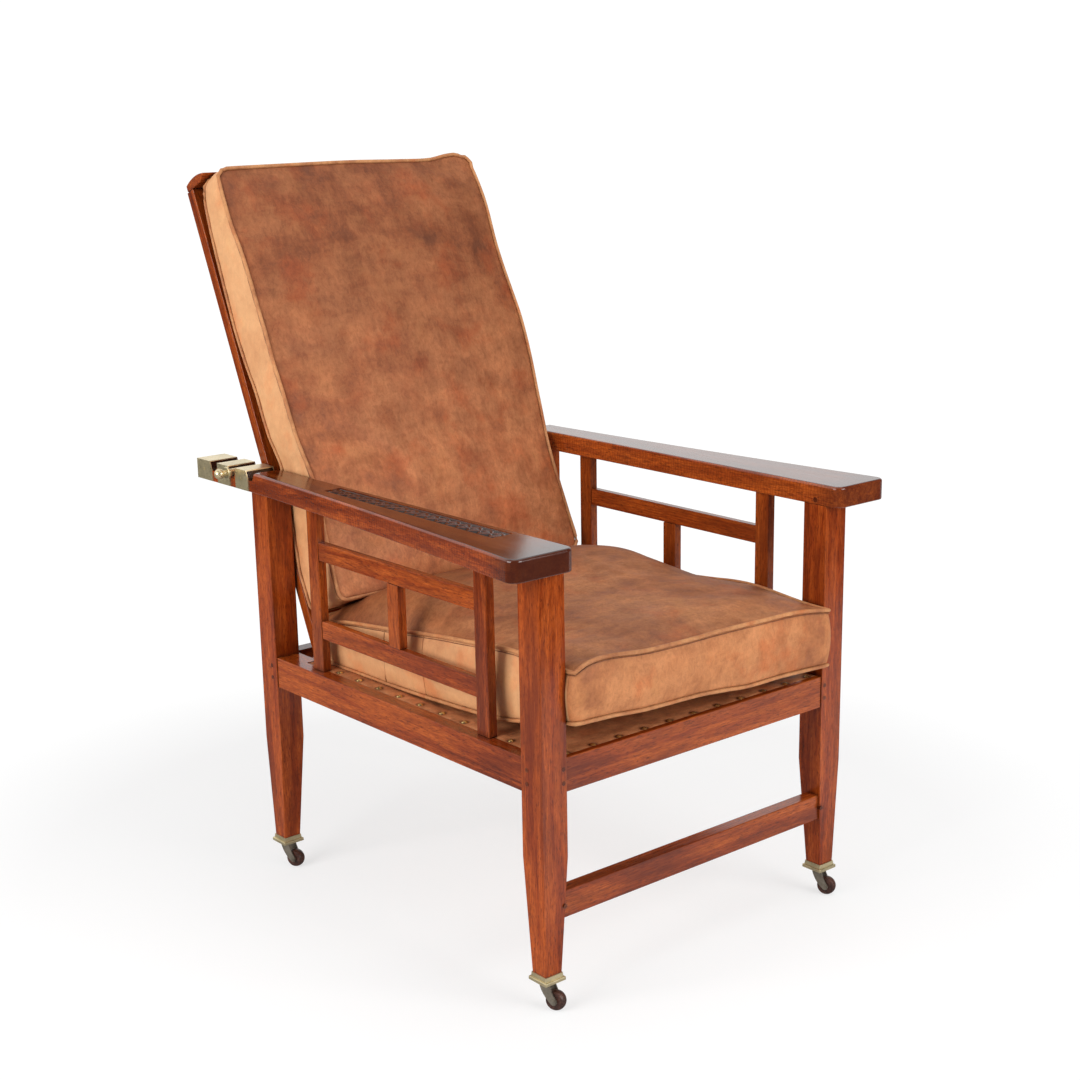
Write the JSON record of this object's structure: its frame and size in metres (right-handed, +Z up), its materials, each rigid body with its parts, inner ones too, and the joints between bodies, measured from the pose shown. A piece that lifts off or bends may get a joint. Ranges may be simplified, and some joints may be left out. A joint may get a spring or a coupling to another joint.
{
  "type": "reclining armchair",
  "caption": "Wooden reclining armchair with a notched-arm support bar, hinged ladder back, loose leather cushions, nailed leather seat deck and brass casters.",
  "frame": {"origin": "floor, under the middle of the chair's overall width and depth", "axes": "+Z up, -Y the way the chair faces, +X to the sitter's left"},
  "size_m": [0.6876, 0.9018, 1.0715],
  "materials": {
    "mahogany": "polished red-brown wood, worn lighter along the edges",
    "peg_wood": "darker end grain of the dowel pegs",
    "cushion": "soft filling in a mottled tan leather cover, with welted seams",
    "deck_leather": "plain tan hide, nailed round its edge",
    "aged_brass": "aged brass with brighter worn edges",
    "nail_brass": "aged brass nail heads",
    "caster_brass": "dull aged brass",
    "hinge_brass": "aged brass",
    "caster_wheel": "turned dark red-brown wheel, slightly worn"
  },
  "bodies": {
    "frame": {"arm_left": "mahogany", "arm_right": "mahogany", "caster_collars": "caster_brass", "deck_nails": "nail_brass", "dowel_pegs": "peg_wood", "front_rail": "mahogany", "front_stretcher": "mahogany", "hinge_leaves_fixed": "hinge_brass", "hinge_pins": "hinge_brass", "hinge_rail": "mahogany", "hinge_screws_fixed": "hinge_brass", "leg_front_left": "mahogany", "leg_front_right": "mahogany", "leg_rear_left": "mahogany", "leg_rear_right": "mahogany", "notch_saddles_left": "aged_brass", "notch_saddles_right": "aged_brass", "panel_bar_lower_left": "mahogany", "panel_bar_lower_right": "mahogany", "panel_bar_upper_left": "mahogany", "panel_bar_upper_right": "mahogany", "panel_upright_front_left": "mahogany", "panel_upright_front_right": "mahogany", "panel_upright_middle_left": "mahogany", "panel_upright_middle_right": "mahogany", "panel_upright_rear_left": "mahogany", "panel_upright_rear_right": "mahogany", "rear_rail": "mahogany", "saddle_pins": "aged_brass", "seat_cushion": "cushion", "seat_deck": "deck_leather", "side_rail_left": "mahogany", "side_rail_right": "mahogany"},
    "back": {"back_bottom_rail": "mahogany", "back_crest": "mahogany", "back_cushion": "cushion", "back_slat_1": "mahogany", "back_slat_2": "mahogany", "back_slat_3": "mahogany", "back_slat_4": "mahogany", "back_stile_left": "mahogany", "back_stile_right": "mahogany", "hinge_leaves_moving": "hinge_brass", "hinge_screws_moving": "hinge_brass"},
    "support_bar_body": {"bar_knob_left": "aged_brass", "bar_knob_right": "aged_brass", "support_bar": "aged_brass"},
    "fork_front_right": {"caster_fork_front_right": "caster_brass", "caster_axle_front_right": "caster_brass"},
    "wheel_front_right": {"caster_wheel_front_right": "caster_wheel"},
    "fork_front_left": {"caster_fork_front_left": "caster_brass", "caster_axle_front_left": "caster_brass"},
    "wheel_front_left": {"caster_wheel_front_left": "caster_wheel"},
    "fork_rear_right": {"caster_fork_rear_right": "caster_brass", "caster_axle_rear_right": "caster_brass"},
    "wheel_rear_right": {"caster_wheel_rear_right": "caster_wheel"},
    "fork_rear_left": {"caster_fork_rear_left": "caster_brass", "caster_axle_rear_left": "caster_brass"},
    "wheel_rear_left": {"caster_wheel_rear_left": "caster_wheel"}
  },
  "joints": [
    {"name": "back_recline", "type": "hinge", "parent": "frame", "child": "back", "pos_m": [0, 0.16561, 0.352], "axis": [1, 0, 0], "range_deg": [0, 12]},
    {"name": "bar_lift", "type": "slide", "parent": "frame", "child": "support_bar_body", "axis": [0, 0.3939, 0.9191], "range_m": [0, 0.07]},
    {"name": "swivel_front_right", "type": "hinge", "parent": "frame", "child": "fork_front_right", "pos_m": [-0.2675, -0.40989, 0.0415], "axis": [0, 0, 1], "continuous": true},
    {"name": "roll_front_right", "type": "hinge", "parent": "fork_front_right", "child": "wheel_front_right", "pos_m": [-0.26242, -0.42131, 0.014], "axis": [0.9135, 0.4067, 0], "continuous": true},
    {"name": "swivel_front_left", "type": "hinge", "parent": "frame", "child": "fork_front_left", "pos_m": [0.2675, -0.40989, 0.0415], "axis": [0, 0, 1], "continuous": true},
    {"name": "roll_front_left", "type": "hinge", "parent": "fork_front_left", "child": "wheel_front_left", "pos_m": [0.27258, -0.42131, 0.014], "axis": [0.9135, 0.4067, 0], "continuous": true},
    {"name": "swivel_rear_right", "type": "hinge", "parent": "frame", "child": "fork_rear_right", "pos_m": [-0.2675, 0.21911, 0.0415], "axis": [0, 0, 1], "continuous": true},
    {"name": "roll_rear_right", "type": "hinge", "parent": "fork_rear_right", "child": "wheel_rear_right", "pos_m": [-0.26242, 0.20769, 0.014], "axis": [0.9135, 0.4067, 0], "continuous": true},
    {"name": "swivel_rear_left", "type": "hinge", "parent": "frame", "child": "fork_rear_left", "pos_m": [0.2675, 0.21911, 0.0415], "axis": [0, 0, 1], "continuous": true},
    {"name": "roll_rear_left", "type": "hinge", "parent": "fork_rear_left", "child": "wheel_rear_left", "pos_m": [0.27258, 0.20769, 0.014], "axis": [0.9135, 0.4067, 0], "continuous": true}
  ]
}
